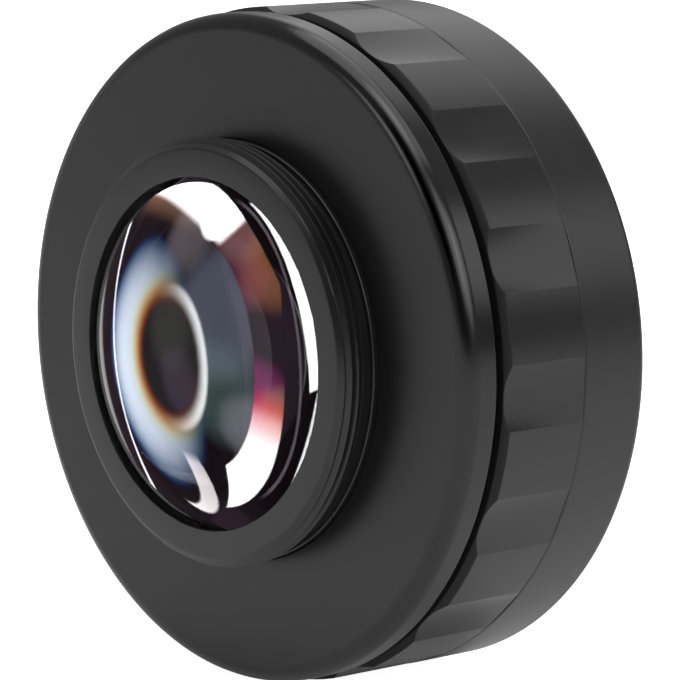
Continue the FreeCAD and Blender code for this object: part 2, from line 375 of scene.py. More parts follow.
def rounded_profile(corners: Sequence[Corner], closed: bool = True, steps: int = 6) -> np.ndarray:
    """Rounds the corners of a profile.

    Each corner with a radius becomes an arc tangent to both sides: with u and v the unit directions to
    its neighbours and a the angle between them, the arc touches the sides radius / tan(a / 2) away.
    A point just past each end of the arc holds the flat side's shading flat.

    Args:
        corners: The profile's corners in order.
        closed: Whether the last corner joins the first.
        steps: Pieces in each arc.

    Returns:
        Points, one (r, y) row each.
    """
    point = np.array([(c.r, c.y) for c in corners])
    radius = np.array([c.round for c in corners])
    back = np.roll(point, 1, axis=0) - point
    ahead = np.roll(point, -1, axis=0) - point
    if not closed:
        radius[[0, -1]] = 0.0
    back_length = np.linalg.norm(back, axis=1, keepdims=True)
    ahead_length = np.linalg.norm(ahead, axis=1, keepdims=True)
    u = back / back_length
    v = ahead / ahead_length
    cosine = np.clip(np.sum(u * v, axis=1), -NEARLY_STRAIGHT, NEARLY_STRAIGHT)
    half = np.arccos(cosine) / 2.0
    reach = radius / np.tan(half)
    limit = SIDE_SHARE * np.minimum(back_length, ahead_length)[:, 0]
    reach = np.minimum(reach, limit)
    radius = reach * np.tan(half)
    middle = u + v
    middle /= np.maximum(np.linalg.norm(middle, axis=1, keepdims=True), TINY)
    centre = point + middle * (radius / np.sin(half))[:, None]
    start = point + u * reach[:, None] - centre
    end = point + v * reach[:, None] - centre
    sweep = math.pi - 2.0 * half
    share = np.linspace(0.0, 1.0, steps + 1)
    safe = np.maximum(np.sin(sweep), TINY)[:, None]
    first = np.sin((1.0 - share)[None, :] * sweep[:, None]) / safe
    second = np.sin(share[None, :] * sweep[:, None]) / safe
    arc = centre[:, None, :] + first[..., None] * start[:, None, :] + second[..., None] * end[:, None, :]
    hold = np.minimum(HOLD, HOLD_SHARE * limit)
    before = point + u * (reach + hold)[:, None]
    after = point + v * (reach + hold)[:, None]
    rows = np.concatenate([before[:, None], arc, after[:, None]], axis=1)
    sharp = radius < SHARP_RADIUS
    rows[sharp] = point[sharp][:, None, :]
    flat = rows.reshape(-1, 2)
    gap = np.linalg.norm(flat - np.roll(flat, 1, axis=0), axis=1)
    keep = gap > SMALLEST_GAP
    if not closed:
        keep[0] = True
    return flat[keep]


def turn_grid(profile: np.ndarray, segments: int = SEGMENTS) -> np.ndarray:
    """Turns a profile about Y: a point (r, y) at angle t becomes (r cos t, y, -r sin t).

    Args:
        profile: Rows of (r, y) in millimetres.
        segments: Steps round the axis.

    Returns:
        An array of rows, segments and 3, in metres.
    """
    angle = np.linspace(0.0, TURN, segments, endpoint=False)
    r = profile[:, 0:1]
    x = r * np.cos(angle)[None, :]
    z = -r * np.sin(angle)[None, :]
    y = np.repeat(profile[:, 1:2], segments, axis=1)
    return np.stack([x, y, z], axis=2) * MM


def grid_faces(rows: int, columns: int, shift: int = 0) -> np.ndarray:
    """Quads of a grid that closes on itself round the axis.

    Args:
        rows: Rows of the grid.
        columns: Columns, round the axis.
        shift: Rows by which the last column meets the first one higher up, as on a helix.

    Returns:
        Rows of four vertex numbers.
    """
    row, column = np.meshgrid(np.arange(rows - 1), np.arange(columns), indexing="ij")
    lift = np.where(column == columns - 1, shift, 0)
    ahead = (column + 1) % columns
    low_row = row + lift
    keep = (low_row + 1) < rows
    row, column, ahead, low_row = row[keep], column[keep], ahead[keep], low_row[keep]
    return np.stack(
        [
            row * columns + column,
            low_row * columns + ahead,
            (low_row + 1) * columns + ahead,
            (row + 1) * columns + column,
        ],
        axis=1,
    )


def solid_from(
    name: str,
    grids: Sequence[np.ndarray],
    faces: Sequence[np.ndarray],
    materials: Sequence[bpy.types.Material],
    choose: Callable[[np.ndarray], np.ndarray] | None = None,
) -> bpy.types.Object:
    """Makes one closed object from grids of points.

    Args:
        name: The piece's name.
        grids: Point arrays, flattened in turn.
        faces: Face arrays, already numbered across all the points.
        materials: The materials by slot.
        choose: Gives each face's slot from its centre in millimetres, if there is more than one.

    Returns:
        The object, with its normals outwards.
    """
    points = np.concatenate([g.reshape(-1, 3) for g in grids])
    mesh = bpy.data.meshes.new(name)
    listed = [row for block in faces for row in block.tolist()]
    mesh.from_pydata(points.tolist(), [], listed)
    work = bmesh.new()
    work.from_mesh(mesh)
    bmesh.ops.remove_doubles(work, verts=work.verts, dist=MERGE_DISTANCE)
    bmesh.ops.dissolve_degenerate(work, dist=DISSOLVE_DISTANCE, edges=work.edges)
    bmesh.ops.recalc_face_normals(work, faces=work.faces)
    if work.calc_volume(signed=True) < 0.0:
        bmesh.ops.reverse_faces(work, faces=work.faces)
    work.to_mesh(mesh)
    work.free()
    for material in materials:
        mesh.materials.append(material)
    if choose is not None:
        centres = np.zeros(len(mesh.polygons) * 3)
        mesh.polygons.foreach_get("center", centres)
        picked = choose(centres.reshape(-1, 3) / MM).astype(np.int32)
        mesh.polygons.foreach_set("material_index", picked)
    mesh.shade_smooth()
    mesh.set_sharp_from_angle(angle=SHARP_ANGLE)
    mesh.update()
    piece = bpy.data.objects.new(name, mesh)
    bpy.context.scene.collection.objects.link(piece)
    return piece


def turned_piece(
    name: str,
    corners: Sequence[Corner],
    material: bpy.types.Material,
    segments: int = SEGMENTS,
) -> bpy.types.Object:
    """Turns a closed profile into a ring.

    Args:
        name: The piece's name.
        corners: The profile's corners.
        material: Its finish.
        segments: Steps round the axis.

    Returns:
        The object.
    """
    profile = rounded_profile(corners)
    profile = np.concatenate([profile, profile[:1]])
    grid = turn_grid(profile, segments)
    return solid_from(name, [grid], [grid_faces(len(profile), segments)], [material])


def sphere_rows(curve: float, top: float, side: float, radii: np.ndarray) -> np.ndarray:
    """Points on a sphere's meridian: y = top + side (R - sqrt(R^2 - r^2)), or a flat where R is 0.

    Args:
        curve: The sphere's radius R, or 0 for a flat.
        top: Where it crosses the axis.
        side: 1 where it falls away to +Y, else -1.
        radii: Distances r from the axis.

    Returns:
        Rows of (r, y).
    """
    fall = curve - np.sqrt(np.maximum(curve * curve - radii * radii, 0.0)) if curve else 0.0 * radii
    return np.stack([radii, top + side * fall], axis=1)


@dataclass(frozen=True)
class Glass:
    """A lens: two polished surfaces and a ground edge, sizes in millimetres."""

    name: str
    radius: float
    rear_rows: np.ndarray
    front_rows: np.ndarray
    edge_reach: float = 0.02

    def build(self, glass: bpy.types.Material, edge: bpy.types.Material) -> bpy.types.Object:
        """Builds the lens from its rear surface, edge and front surface.

        Args:
            glass: The polished faces' finish.
            edge: The ground edge's finish.

        Returns:
            The object.
        """
        profile = np.concatenate([self.rear_rows, self.front_rows[::-1]])
        grid = turn_grid(profile, GLASS_SEGMENTS)
        limit = self.radius - self.edge_reach
        return solid_from(
            self.name,
            [grid],
            [grid_faces(len(profile), GLASS_SEGMENTS)],
            [glass, edge],
            lambda centre: np.hypot(centre[:, 0], centre[:, 2]) > limit,
        )


@dataclass(frozen=True)
class ScrewThread:
    """A helical V thread on a cylinder about Y, sizes in millimetres.

    The crest's flat is a share of the pitch. A root beyond the crest makes it an inside thread.
    """

    pitch: float
    crest: float
    root: float
    y_from: float
    y_to: float
    phase: float = 0.0
    crest_flat: float = 0.125
    rows_per_pitch: int = 24

    def radius_at(self, y: np.ndarray, angle: np.ndarray) -> np.ndarray:
        """Radius of the thread's surface.

        The distance along Y to the nearest crest's middle is d = |y - phase - pitch t / 2 pi| within half
        a pitch, and the surface falls from the crest by (d - half the flat) / tan 30 down to the root.

        Args:
            y: Places along the axis.
            angle: The angle t of each.

        Returns:
            The radius at each.
        """
        along = (y - self.phase - self.pitch * angle / TURN) / self.pitch
        distance = np.abs(along - np.round(along)) * self.pitch
        past_flat = (distance - self.pitch * self.crest_flat / 2.0) / FLANK_SLOPE
        fall = np.clip(past_flat, 0.0, abs(self.crest - self.root))
        return self.crest + math.copysign(1.0, self.root - self.crest) * fall

    def grid(self, envelope: Callable[[np.ndarray], np.ndarray], segments: int = SEGMENTS) -> np.ndarray:
        """Points of the threaded surface on rows that follow the helix, cut off at both ends.

        Args:
            envelope: The radius that limits the thread at each y, such as a lead chamfer.
            segments: Steps round the axis.

        Returns:
            Rows, segments and 3, in metres.
        """
        step = self.pitch / self.rows_per_pitch
        count = int(math.ceil((self.y_to - self.y_from + self.pitch) / step)) + 2
        start = self.y_from - self.pitch - step
        row = start + step * np.arange(count + 1)
        angle = np.linspace(0.0, TURN, segments, endpoint=False)
        y = row[:, None] + self.pitch * angle[None, :] / TURN
        y = np.clip(y, self.y_from, self.y_to)
        r = self.radius_at(y, np.repeat(angle[None, :], len(row), axis=0))
        limit = envelope(y)
        r = np.minimum(r, limit) if self.root < self.crest else np.maximum(r, limit)
        return np.stack([r * np.cos(angle), y, -r * np.sin(angle)], axis=2) * MM


def threaded_piece(
    name: str,
    thread: ScrewThread,
    envelope: Callable[[np.ndarray], np.ndarray],
    rest_of_profile: Sequence[Corner],
    material: bpy.types.Material,
) -> bpy.types.Object:
    """Makes a turned piece with one helical thread in its profile.

    Args:
        name: The piece's name.
        thread: The thread, which the profile leaves out.
        envelope: The radius that limits the thread at each y.
        rest_of_profile: The corners from the thread's y_to end round to its y_from end.
        material: The finish.

    Returns:
        The object.
    """
    helix = thread.grid(envelope)
    rest = turn_grid(rounded_profile(rest_of_profile, closed=False))
    helix_faces = grid_faces(len(helix), SEGMENTS, thread.rows_per_pitch)
    whole = np.concatenate([helix[-1:], rest, helix[:1]])
    rest_faces = grid_faces(len(whole), SEGMENTS) + helix.shape[0] * SEGMENTS
    return solid_from(name, [helix, whole], [helix_faces, rest_faces], [material])


def place(piece: bpy.types.Object, body: Body, slot: Slot, *nodes: str) -> None:
    """Lets a piece ride on a body in place of its CAD nodes, and logs it.

    Args:
        piece: The new piece.
        body: The body it moves with.
        slot: The record's material slot; not used.
        nodes: The CAD nodes that it stands for.
    """
    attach(piece, body.value)
    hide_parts(*nodes)
    LOG.info("%s replaces %s, %d faces", piece.name, ", ".join(nodes), len(piece.data.polygons))


def dress(node: str, material: bpy.types.Material) -> None:
    """Gives a CAD node that stays its finish, and logs it.

    Args:
        node: The node's name.
        material: Its finish.
    """
    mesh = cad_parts[node].data
    mesh.materials.clear()
    mesh.materials.append(material)
    LOG.info("%s keeps its CAD mesh", node)


# ---- sub-assemblies -----------------------------------------------------------------------------


@dataclass
class RearUnit:
    """The close-up unit: threaded boss, domed glass and the flat disc.

    Fields that end in face, rear, front or top are places along the axis, the rest radii and widths.
    """

    boss_face: float = -1.55
    thread_radius: float = 18.5
    thread_root: float = 18.04
    thread_pitch: float = 0.75
    thread_phase: float = 0.12
    thread_crest_flat: float = 0.09
    thread_front: float = 0.75
    chamfer_front: float = -0.8
    face_radius: float = 17.65
    face_break: float = 0.16
    face_break_mid: float = 0.06
    face_break_depth: float = 0.015
    relief_radius: float = 17.85
    collar_rear: float = 1.95
    collar_radius: float = 18.25
    collar_front: float = 3.3
    collar_bore: float = 18.3
    collar_edge: float = 0.05
    disc_rear: float = 2.5
    disc_front: float = 5.8
    disc_radius: float = 29.0
    disc_round: float = 1.5
    disc_front_round: float = 0.12
    tail_radius: float = 17.5
    tail_front: float = 3.84
    pocket: float = 16.54
    opening: float = 15.24
    opening_round: float = 0.03
    lip_front: float = -1.0
    seat_front: float = 0.0
    dome_curve: float = 25.0
    dome_top: float = -6.16
    back_curve: float = 40.0
    back_top: float = 5.154
    glass_radius: float = 16.49
    disc_bore: float = 17.55
    spigot_inside: float = 20.481
    spigot_undercut: float = 22.381
    spigot_radius: float = 22.731
    spigot_front: float = 10.15
    spigot_relief: float = 0.95
    spigot_round: float = 0.3
    recess: float = 0.6
    collar_clearance: float = 0.02
    glass_rows: int = 72

    def boss_limit(self, y: np.ndarray) -> np.ndarray:
        """Radius of the boss's lead chamfer: 45 degrees from the face to the root, then steeper."""
        places = [self.boss_face, self.boss_face + self.thread_root - self.face_radius, self.chamfer_front]
        return np.interp(y, places, [self.face_radius, self.thread_root, self.thread_radius])

    def build_boss(self, finishes: Finishes) -> None:
        """Builds the rear cell with its helical thread.

        Args:
            finishes: The materials.
        """
        thread = ScrewThread(
            self.thread_pitch,
            self.thread_radius,
            self.thread_root,
            self.boss_face + EDGE_BREAK,
            self.thread_front,
            phase=self.thread_phase,
            crest_flat=self.thread_crest_flat,
        )
        rest = [
            Corner(self.relief_radius, self.thread_front),
            Corner(self.relief_radius, self.collar_rear),
            Corner(self.collar_radius, self.collar_rear, BROAD),
            Corner(self.collar_radius, self.collar_front),
            Corner(self.tail_radius, self.collar_front),
            Corner(self.tail_radius, self.tail_front, SOFT),
            Corner(self.pocket, self.tail_front, SOFT),
            Corner(self.pocket, self.seat_front),
            Corner(self.opening, self.lip_front, self.opening_round),
            Corner(self.opening, self.boss_face, CRISP),
            Corner(self.face_radius - self.face_break, self.boss_face),
            Corner(self.face_radius - self.face_break_mid, self.boss_face + self.face_break_depth),
        ]
        boss = threaded_piece("threaded_boss", thread, self.boss_limit, rest, finishes.boss)
        place(boss, Body.REAR, Slot.ANODISED, "rear_cell")

    def build_disc(self, finishes: Finishes) -> None:
        """Builds the flat disc with its rounded rim and the joint's spigot.

        Args:
            finishes: The materials.
        """
        relief_front = self.disc_front + self.spigot_relief
        seat = self.collar_front + self.collar_clearance
        corners = [
            Corner(self.disc_bore, seat),
            Corner(self.collar_bore, seat),
            Corner(self.collar_bore, self.disc_rear + self.collar_edge),
            Corner(self.collar_bore + self.collar_edge, self.disc_rear, CRISP),
            Corner(self.disc_radius, self.disc_rear, self.disc_round),
            Corner(self.disc_radius, self.disc_front, self.disc_front_round),
            Corner(self.spigot_undercut, self.disc_front, SOFT),
            Corner(self.spigot_undercut, relief_front, SOFT),
            Corner(self.spigot_radius, relief_front, CRISP),
            Corner(self.spigot_radius, self.spigot_front, self.spigot_round),
            Corner(self.spigot_inside, self.spigot_front, SOFT),
            Corner(self.spigot_inside, self.disc_front - self.recess, SOFT),
            Corner(self.disc_bore, self.disc_front - self.recess, CRISP),
        ]
        disc = turned_piece("rear_disc_plate", corners, finishes.disc)
        place(disc, Body.REAR, Slot.ANODISED, "rear_disc")

    def build_glass(self, finishes: Finishes) -> None:
        """Builds the domed rear glass.

        Args:
            finishes: The materials.
        """
        radii = np.linspace(0.0, self.glass_radius, self.glass_rows)
        rear = sphere_rows(self.dome_curve, self.dome_top, 1.0, radii)
        front = sphere_rows(self.back_curve, self.back_top, -1.0, radii)
        dome = Glass("domed_rear_glass", self.glass_radius, rear, front).build(
            finishes.rear_glass, finishes.edge
        )
        place(dome, Body.REAR, Slot.REAR_GLASS, "rear_lens")

    def build(self, finishes: Finishes) -> None:
        """Builds the whole unit.

        Args:
            finishes: The materials.
        """
        self.build_disc(finishes)
        self.build_boss(finishes)
        self.build_glass(finishes)
        dress("rear_retaining_ring", finishes.flat)


@dataclass
class JointSeal:
    """The rubber ring in the gap between the two units."""

    radius: float = 23.961
    section: float = 0.43
    middle: float = 6.25
    section_steps: int = 32

    def build(self, finishes: Finishes) -> None:
        """Builds the ring: a circle carried round the axis.

        Args:
            finishes: The materials.
        """
        angle = np.linspace(0.0, TURN, self.section_steps + 1)
        r = self.radius + self.section * np.cos(angle)
        profile = np.stack([r, self.middle + self.section * np.sin(angle)], axis=1)
        grid = turn_grid(profile, INNER_SEGMENTS)
        faces = grid_faces(len(profile), INNER_SEGMENTS)
        ring = solid_from("joint_rubber_ring", [grid], [faces], [finishes.rubber])
        place(ring, Body.SEAL, Slot.RUBBER, "joint_seal")


@dataclass
class GripSleeve:
    """The outer sleeve with shallow scallops, which get shallower towards the front."""

    radius: float = 29.35
    bore: float = 26.65
    counterbore: float = 27.85
    step: float = 7.72
    rear: float = 6.7
    front: float = 15.67
    chamfer: float = 0.5
    front_edge: float = 0.05
    face_reach: float = 0.01
    round_share: float = 0.3
    round_rise: float = 0.4
    chamfer_reach: float = 1.12
    chamfer_round: tuple[tuple[float, float, float], ...] = ((0.85, 0.85, 0.6), (0.96, 0.98, 0.8))
    scallops: int = 16
    scallop_angle: float = 10.77
    scallop_depth: float = 0.53
    scallop_front_depth: float = 0.07
    scallop_phase: float = -2.7
    scallop_columns: int = 30
    land_columns: int = 10
    land_edge: float = 0.1

    def columns(self, depth: float) -> tuple[np.ndarray, np.ndarray]:
        """Angles round the sleeve and the outside radius at each.

        Across a scallop the outside is a circle of radius c centred at D from the axis, so at an angle d
        from the scallop's middle r = D cos d - sqrt(c^2 - D^2 sin^2 d). A scallop shallower than the
        circle's own bulge over its chord is still convex: there c is below 0 and the root is added.

        Args:
            depth: How deep the scallops are at this end of the sleeve.

        Returns:
            Angles in radians from +X towards +Z, and radii in millimetres.
        """
        half = math.radians(self.scallop_angle) / 2.0
        pitch = TURN / self.scallops
        inside = np.linspace(-1.0, 1.0, self.scallop_columns + 1)
        inside = half * np.sin(inside * math.pi / 2.0)
        outside = np.linspace(half, pitch - half, self.land_columns + 2)[1:-1]
        edge = math.radians(self.land_edge)
        local = np.sort(np.concatenate([inside, [half + edge], outside, [pitch - half - edge]]))
        hollow = depth - self.radius * (1.0 - math.cos(half))
        chord = self.radius * math.sin(half)
        cutter = (chord * chord + hollow * hollow) / (2.0 * hollow)
        centre = self.radius - depth + cutter
        sine = centre * np.sin(np.minimum(np.abs(local), half))
        root = np.sqrt(np.maximum(cutter * cutter - sine * sine, 0.0))
        cut = centre * np.cos(local) - math.copysign(1.0, cutter) * root
        r = np.where(np.abs(local) < half + TINY, np.minimum(cut, self.radius), self.radius)
        turns = np.arange(self.scallops) * pitch + math.radians(self.scallop_phase)
        angle = (turns[:, None] + local[None, :]).reshape(-1)
        return angle, np.tile(r, self.scallops)

    def build(self, finishes: Finishes) -> None:
        """Builds the scalloped sleeve: rows go from the bore over the rear face, the outside and back.

        With c the chamfer, each column's chamfer climbs l = max(r - (R - c), 0), so it is narrower where a
        scallop cuts the outside down to r. Rounded rows lead from the rear face into it and out of it.

        Args:
            finishes: The materials.
        """
        angle, outer = self.columns(self.scallop_depth)
        front_outer = self.columns(self.scallop_front_depth)[1]
        ones = np.ones_like(outer)
        face = np.minimum(outer, self.radius - self.chamfer)
        lift = np.maximum(outer - (self.radius - self.chamfer), 0.0)
        hold = HOLD * ones
        soft = EDGE_BREAK * ones
        chamfer_front = self.rear + np.maximum(lift * self.chamfer_reach, soft)
        edge_rear = self.front - self.front_edge
        share = self.round_share
        rows = [
            # the bore, its step and the rear face
            (self.bore * ones, self.front * ones),
            (self.bore * ones, self.step * ones),
            (self.counterbore * ones, self.step * ones),
            (self.counterbore * ones, self.rear * ones),
            (face - soft, self.rear * ones),
            # the rounded start of the chamfer
            (face - share * soft, self.rear + share * soft * share),
            (face + share * np.minimum(soft, lift), self.rear + self.round_rise * soft),
            # its rounded end
            *[
                (face + lift * out, self.rear + np.maximum(lift * ahead, least * soft))
                for out, ahead, least in self.chamfer_round
            ],
            (outer, chamfer_front),
            (outer, chamfer_front + hold),
            # the outside, with the edge break at the front ring
            (front_outer, edge_rear - hold),
            (front_outer, edge_rear * ones),
            (front_outer - share * self.front_edge, (self.front - share * self.front_edge) * ones),
            (front_outer - self.front_edge, self.front * ones),
            (self.bore * ones, self.front * ones),
        ]
        r = np.stack([row[0] for row in rows])
        y = np.stack([row[1] for row in rows])
        grid = np.stack([r * np.cos(angle), y, r * np.sin(angle)], axis=2) * MM
        rear, chamfer_end = self.rear - self.face_reach, self.rear + self.chamfer_reach * self.chamfer
        sleeve = solid_from(
            "scalloped_grip",
            [grid],
            [grid_faces(len(rows), len(angle))],
            [finishes.grip, finishes.flat],
            lambda centre: (centre[:, 1] < chamfer_end) & (centre[:, 1] > rear),
        )
        place(sleeve, Body.FRONT, Slot.GRIP, "grip_ring")


@dataclass
class InnerBarrel:
    """The hidden barrel: joint bore and shoulder, web with the second glass's hub, front glass pocket."""

    rear: float = 6.7
    joint_bore: float = 22.781
    joint_relief: float = 23.131
    relief_rear: float = 10.25
    web_rear: float = 11.2
    shoulder: float = 27.8
    shoulder_front: float = 7.7
    outside: float = 26.6
    front: float = 18.57
    pocket: float = 25.1
    pocket_rear: float = 12.48
    hub_outside: float = 16.55
    hub_rear: float = 7.2
    hub_bore: float = 15.05
    hub_seat: float = 7.9
    hub_opening: float = 12.55
    joint_round: float = 0.3
    pocket_round: float = 0.4

    def build(self, finishes: Finishes) -> None:
        """Builds the barrel.

        Args:
            finishes: The materials.
        """
        corners = [
            Corner(self.joint_bore, self.rear, self.joint_round),
            Corner(self.shoulder, self.rear, SOFT),
            Corner(self.shoulder, self.shoulder_front, CRISP),
            Corner(self.outside, self.shoulder_front, CRISP),
            Corner(self.outside, self.front, SOFT),
            Corner(self.pocket, self.front, self.pocket_round),
            Corner(self.pocket, self.pocket_rear, CRISP),
            Corner(self.hub_bore, self.pocket_rear, SOFT),
            Corner(self.hub_bore, self.hub_seat),
            Corner(self.hub_opening, self.hub_seat, CRISP),
            Corner(self.hub_opening, self.hub_rear, SOFT),
            Corner(self.hub_outside, self.hub_rear, BROAD),
            Corner(self.hub_outside, self.web_rear, BROAD),
            Corner(self.joint_relief, self.web_rear, SOFT),
            Corner(self.joint_relief, self.relief_rear),
            Corner(self.joint_bore, self.relief_rear),
        ]
        barrel = turned_piece("inner_barrel", corners, finishes.flat, INNER_SEGMENTS)
        place(barrel, Body.FRONT, Slot.ANODISED, "barrel")


@dataclass
class FrontRing:
    """The smooth front ring with a helical filter thread in its mouth."""

    radius: float = 29.35
    rear: float = 15.67
    front: float = 22.97
    rear_bore: float = 26.65
    lip: float = 25.85
    trim_seat: float = 26.694
    lip_rear: float = 18.59
    lip_front: float = 19.09
    bore: float = 27.094
    root: float = 27.56
    relief: float = 27.62
    relief_rear: float = 20.03
    thread_rear: float = 20.63
    thread_front: float = 22.57
    pitch: float = 0.75
    mouth: float = 0.4
    front_round: float = 1.0
    rear_round: float = 0.18

    def mouth_limit(self, y: np.ndarray) -> np.ndarray:
        """Radius of the mouth's lead chamfer, a cone at 45 degrees from the thread to the front face."""
        return np.maximum(self.bore, self.bore + (y - self.thread_front))

    def build(self, finishes: Finishes) -> None:
        """Builds the ring.

        Args:
            finishes: The materials.
        """
        thread = ScrewThread(self.pitch, self.bore, self.root, self.thread_rear, self.front - EDGE_BREAK)
        mouth_radius = self.bore + self.mouth
        rest = [
            Corner(mouth_radius, self.front),
            Corner(self.radius, self.front, self.front_round),
            Corner(self.radius, self.rear, self.rear_round),
            Corner(self.rear_bore, self.rear, CRISP),
            Corner(self.rear_bore, self.lip_rear),
            Corner(self.lip, self.lip_rear),
            Corner(self.lip, self.lip_front),
            Corner(self.trim_seat, self.lip_front),
            Corner(self.trim_seat, self.relief_rear),
            Corner(self.relief, self.relief_rear),
            Corner(self.relief, self.thread_rear),
        ]
        ring = threaded_piece("smooth_front_ring", thread, self.mouth_limit, rest, finishes.ring)
        place(ring, Body.FRONT, Slot.GRIP, "front_ring")


@dataclass
class TrimRing:
    """The bare sloping ring round the front glass."""

    seat: float = 25.85
    outside: float = 26.644
    opening: float = 23.444
    rear: float = 19.11
    front: float = 20.01
    lip_front: float = 18.51
    lip_rear: float = 18.11

    def build(self, finishes: Finishes) -> None:
        """Builds the ring.

        Args:
            finishes: The materials.
        """
        corners = [
            Corner(self.seat, self.rear),
            Corner(self.outside, self.rear),
            Corner(self.outside, self.front, EDGE_BREAK),
            Corner(self.opening, self.lip_front, CRISP),
            Corner(self.opening, self.lip_rear, CRISP),
        ]
        trim = turned_piece("sloping_trim_ring", corners, finishes.boss)
        place(trim, Body.FRONT, Slot.ANODISED, "front_trim_ring")


@dataclass
class FrontGlassGroup:
    """The front meniscus and the hollow second glass with what holds them."""

    meniscus_radius: float = 25.05
    meniscus_seat: float = 12.48
    meniscus_opening: float = 14.0
    meniscus_rear_curve: float = 20.0
    meniscus_hollow: float = 18.197
    meniscus_front_curve: float = 75.0
    meniscus_top: float = 20.197
    second_radius: float = 15.0
    second_clear: float = 14.0
    second_rear: float = 8.17
    second_front: float = 11.47
    second_curve: float = 45.0
    front_rows: int = 64
    hollow_rows: int = 48
    flat_rows: int = 40
    seat_rows: int = 8
    lip_rows: int = 4

    def build_meniscus(self, finishes: Finishes) -> None:
        """Builds the front glass: hollow at the rear with a flat seat round it, domed in front.

        Args:
            finishes: The materials.
        """
        opening = np.linspace(0.0, self.meniscus_opening, self.hollow_rows)
        hollow = sphere_rows(self.meniscus_rear_curve, self.meniscus_hollow, -1.0, opening)
        rim = np.linspace(self.meniscus_opening, self.meniscus_radius, self.seat_rows)[1:]
        seat = sphere_rows(0.0, self.meniscus_seat, 1.0, rim)
        radii = np.linspace(0.0, self.meniscus_radius, self.front_rows)
        front = sphere_rows(self.meniscus_front_curve, self.meniscus_top, -1.0, radii)
        rear = np.concatenate([hollow, seat])
        meniscus = Glass("front_meniscus", self.meniscus_radius, rear, front)
        place(meniscus.build(finishes.front_glass, finishes.edge), Body.FRONT, Slot.FRONT_GLASS, "front_lens")

    def build_second(self, finishes: Finishes) -> None:
        """Builds the second glass: flat at the rear, hollow in front with a flat lip round it.

        Args:
            finishes: The materials.
        """
        rear = sphere_rows(0.0, self.second_rear, 1.0, np.linspace(0.0, self.second_radius, self.flat_rows))
        clear = np.linspace(0.0, self.second_clear, self.hollow_rows)
        fall = self.second_curve - math.sqrt(self.second_curve**2 - self.second_clear**2)
        bowl = sphere_rows(self.second_curve, self.second_front - fall, 1.0, clear)
        rim = np.linspace(self.second_clear, self.second_radius, self.lip_rows)[1:]
        lip = sphere_rows(0.0, self.second_front, 1.0, rim)
        second = Glass("second_glass", self.second_radius, rear, np.concatenate([bowl, lip]))
        place(second.build(finishes.inner_glass, finishes.edge), Body.FRONT, Slot.INNER_GLASS, "second_lens")

    def build(self, finishes: Finishes) -> None:
        """Builds the two glasses and dresses the rings round them.

        Args:
            finishes: The materials.
        """
        self.build_meniscus(finishes)
        self.build_second(finishes)
        for node in ("glare_stop", "lens_spacer", "front_retaining_ring"):
            dress(node, finishes.flat)
        dress("front_lens_seal", finishes.rubber)


# ---- studio -------------------------------------------------------------------------------------


@dataclass
class Softbox:
    """An area lamp: where it is, where it looks, its size and how bright its face is."""

    name: str
    position: tuple[float, float, float]
    target: tuple[float, float, float]
    width: float
    height: float
    radiance: float

    def build(self) -> None:
        """Builds the lamp. Its power is the face's radiance times pi times its area."""
        data = bpy.data.lights.new(self.name, "AREA")
        data.shape = "RECTANGLE"
        data.size = self.width
        data.size_y = self.height
        data.energy = self.radiance * math.pi * self.width * self.height
        lamp = bpy.data.objects.new(self.name, data)
        lamp.visible_camera = False
        direction = Vector(self.target) - Vector(self.position)
        turn = direction.to_track_quat("-Z", "Y").to_matrix().to_4x4()
        lamp.matrix_world = Matrix.Translation(Vector(self.position)) @ turn
        bpy.context.scene.collection.objects.link(lamp)


